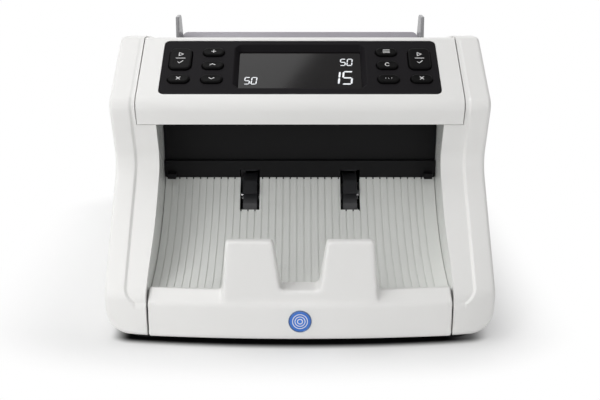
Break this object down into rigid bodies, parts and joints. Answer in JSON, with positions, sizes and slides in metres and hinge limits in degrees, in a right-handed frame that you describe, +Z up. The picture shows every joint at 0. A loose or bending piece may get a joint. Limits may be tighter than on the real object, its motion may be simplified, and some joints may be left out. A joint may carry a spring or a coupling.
{
  "type": "banknote counter",
  "caption": "Desktop banknote counter with a sloped control panel, rear hopper with sliding note guides, friction feed rollers and a front stacker pocket.",
  "frame": {"origin": "middle of the machine's footprint, on the table", "axes": "+X to the machine's right seen from the front, +Y to the back, +Z up"},
  "size_m": [0.25, 0.2847, 0.186],
  "materials": {
    "shell_white": "fine moulded satin",
    "lining_grey": "moulded satin",
    "black_plastic": "moulded matte",
    "foot_rubber": "matte",
    "bezel_charcoal": "fine satin",
    "key_black": "satin with white marks",
    "display_glass": "dark gloss",
    "display_body": "matte",
    "badge_blue": "gloss",
    "board_green": "solder mask",
    "steel": "zinc plated sheet",
    "shaft_steel": "ground",
    "motor_steel": "plated can",
    "bush_bronze": "sintered bronze",
    "roller_rubber": "ground rubber",
    "roller_nylon": "natural nylon",
    "belt_rubber": "matte",
    "wheel_grey": "moulded",
    "smoke_plastic": "smoky satin",
    "guide_grey": "smoky satin",
    "rocker_red": "gloss"
  },
  "bodies": {
    "housing": {"left_side_cover": "shell_white", "right_side_cover": "shell_white", "front_panel": "shell_white", "top_cover": "shell_white", "rear_cover": "shell_white", "left_lining": "lining_grey", "right_lining": "lining_grey", "stacker_tray": "lining_grey", "base_plate": "black_plastic", "stacker_back": "black_plastic", "power_inlet": "black_plastic", "switch_frame": "black_plastic", "feet": "foot_rubber", "control_bezel": "bezel_charcoal", "lcd_window": "display_glass", "lcd_module": "display_body", "badge": "badge_blue", "control_board": "board_green", "main_board": "board_green", "left_frame": "steel", "right_frame": "steel", "cross_bar": "steel", "rear_screws": "steel", "power_supply": "steel", "motor": "motor_steel", "bushes": "bush_bronze", "drive_belts": "belt_rubber", "hopper_plate": "smoke_plastic"},
    "key_start_left": {"key_start_left": "key_black"},
    "key_clear_left": {"key_clear_left": "key_black"},
    "key_add": {"key_add": "key_black"},
    "key_up": {"key_up": "key_black"},
    "key_down": {"key_down": "key_black"},
    "key_batch": {"key_batch": "key_black"},
    "key_mode": {"key_mode": "key_black"},
    "key_menu": {"key_menu": "key_black"},
    "key_start_right": {"key_start_right": "key_black"},
    "key_clear_right": {"key_clear_right": "key_black"},
    "note_guide_left": {"note_guide_left": "guide_grey"},
    "note_guide_right": {"note_guide_right": "guide_grey"},
    "guide_pinion": {"guide_pinion": "roller_nylon"},
    "feed": {"feed_shaft": "shaft_steel", "feed_rollers": "roller_rubber", "feed_pulleys": "roller_nylon"},
    "pickup": {"pickup_shaft": "shaft_steel", "pickup_rollers": "roller_rubber", "pickup_pulley": "roller_nylon"},
    "stacker": {"stacker_shaft": "shaft_steel", "stacker_wheel_left": "wheel_grey", "stacker_wheel_right": "wheel_grey", "stacker_pulley": "roller_nylon"},
    "pinch": {"pinch_shaft": "shaft_steel", "pinch_rollers": "roller_nylon"},
    "motor_rotor": {"motor_rotor": "shaft_steel"},
    "retard": {"retard_bracket": "steel", "retard_roller": "roller_rubber"},
    "gap_knob": {"gap_knob": "black_plastic"},
    "power_rocker": {"power_rocker": "rocker_red"}
  },
  "joints": [
    {"name": "key_start_left_press", "type": "slide", "parent": "housing", "child": "key_start_left", "axis": [0, 0.5412, -0.8409], "range_m": [0, 0.0012], "stiffness_N_per_m": 300},
    {"name": "key_clear_left_press", "type": "slide", "parent": "housing", "child": "key_clear_left", "axis": [0, 0.5412, -0.8409], "range_m": [0, 0.0012], "stiffness_N_per_m": 300},
    {"name": "key_add_press", "type": "slide", "parent": "housing", "child": "key_add", "axis": [0, 0.5412, -0.8409], "range_m": [0, 0.0012], "stiffness_N_per_m": 300},
    {"name": "key_up_press", "type": "slide", "parent": "housing", "child": "key_up", "axis": [0, 0.5412, -0.8409], "range_m": [0, 0.0012], "stiffness_N_per_m": 300},
    {"name": "key_down_press", "type": "slide", "parent": "housing", "child": "key_down", "axis": [0, 0.5412, -0.8409], "range_m": [0, 0.0012], "stiffness_N_per_m": 300},
    {"name": "key_batch_press", "type": "slide", "parent": "housing", "child": "key_batch", "axis": [0, 0.5412, -0.8409], "range_m": [0, 0.0012], "stiffness_N_per_m": 300},
    {"name": "key_mode_press", "type": "slide", "parent": "housing", "child": "key_mode", "axis": [0, 0.5412, -0.8409], "range_m": [0, 0.0012], "stiffness_N_per_m": 300},
    {"name": "key_menu_press", "type": "slide", "parent": "housing", "child": "key_menu", "axis": [0, 0.5412, -0.8409], "range_m": [0, 0.0012], "stiffness_N_per_m": 300},
    {"name": "key_start_right_press", "type": "slide", "parent": "housing", "child": "key_start_right", "axis": [0, 0.5412, -0.8409], "range_m": [0, 0.0012], "stiffness_N_per_m": 300},
    {"name": "key_clear_right_press", "type": "slide", "parent": "housing", "child": "key_clear_right", "axis": [0, 0.5412, -0.8409], "range_m": [0, 0.0012], "stiffness_N_per_m": 300},
    {"name": "guide_left_slide", "type": "slide", "parent": "housing", "child": "note_guide_left", "axis": [1, 0, 0], "range_m": [0, 0.04]},
    {"name": "guide_right_slide", "type": "slide", "parent": "housing", "child": "note_guide_right", "axis": [-1, 0, 0], "range_m": [0, 0.04]},
    {"name": "pinion_turn", "type": "hinge", "parent": "housing", "child": "guide_pinion", "pos_m": [0, 0.03869, 0.15166], "axis": [0, -0.6691, 0.7431], "range_deg": [-300, 10]},
    {"name": "feed_spin", "type": "hinge", "parent": "housing", "child": "feed", "pos_m": [0, 0.001, 0.1025], "axis": [1, 0, 0], "continuous": true},
    {"name": "pickup_spin", "type": "hinge", "parent": "housing", "child": "pickup", "pos_m": [0, 0.02022, 0.13032], "axis": [1, 0, 0], "continuous": true},
    {"name": "stacker_spin", "type": "hinge", "parent": "housing", "child": "stacker", "pos_m": [0, -0.015, 0.056], "axis": [1, 0, 0], "continuous": true},
    {"name": "pinch_spin", "type": "hinge", "parent": "housing", "child": "pinch", "pos_m": [0, -0.02257, 0.09619], "axis": [1, 0, 0], "continuous": true},
    {"name": "motor_spin", "type": "hinge", "parent": "housing", "child": "motor_rotor", "pos_m": [0, 0.053, 0.046], "axis": [1, 0, 0], "continuous": true},
    {"name": "gap_knob_turn", "type": "hinge", "parent": "housing", "child": "gap_knob", "pos_m": [0, -0.0196, 0.163], "axis": [0, 1, 0], "range_deg": [-200, 200]},
    {"name": "retard_slide", "type": "slide", "parent": "housing", "child": "retard", "axis": [0, 1, 0], "range_m": [-0.0005, 0.0005]},
    {"name": "power_rocker_tilt", "type": "hinge", "parent": "housing", "child": "power_rocker", "pos_m": [0.022, 0.1365, 0.034], "axis": [1, 0, 0], "range_deg": [0, 16]}
  ],
  "couplings": [
    {"joint": "guide_right_slide", "follows": "guide_left_slide", "ratio": 1},
    {"joint": "pinion_turn", "follows": "guide_left_slide", "rad_per_m": -125},
    {"joint": "pickup_spin", "follows": "feed_spin", "ratio": 1.3333},
    {"joint": "stacker_spin", "follows": "feed_spin", "ratio": 0.5},
    {"joint": "pinch_spin", "follows": "feed_spin", "ratio": -3},
    {"joint": "motor_spin", "follows": "feed_spin", "ratio": 2},
    {"joint": "gap_knob_turn", "follows": "retard_slide", "rad_per_m": -6283}
  ]
}
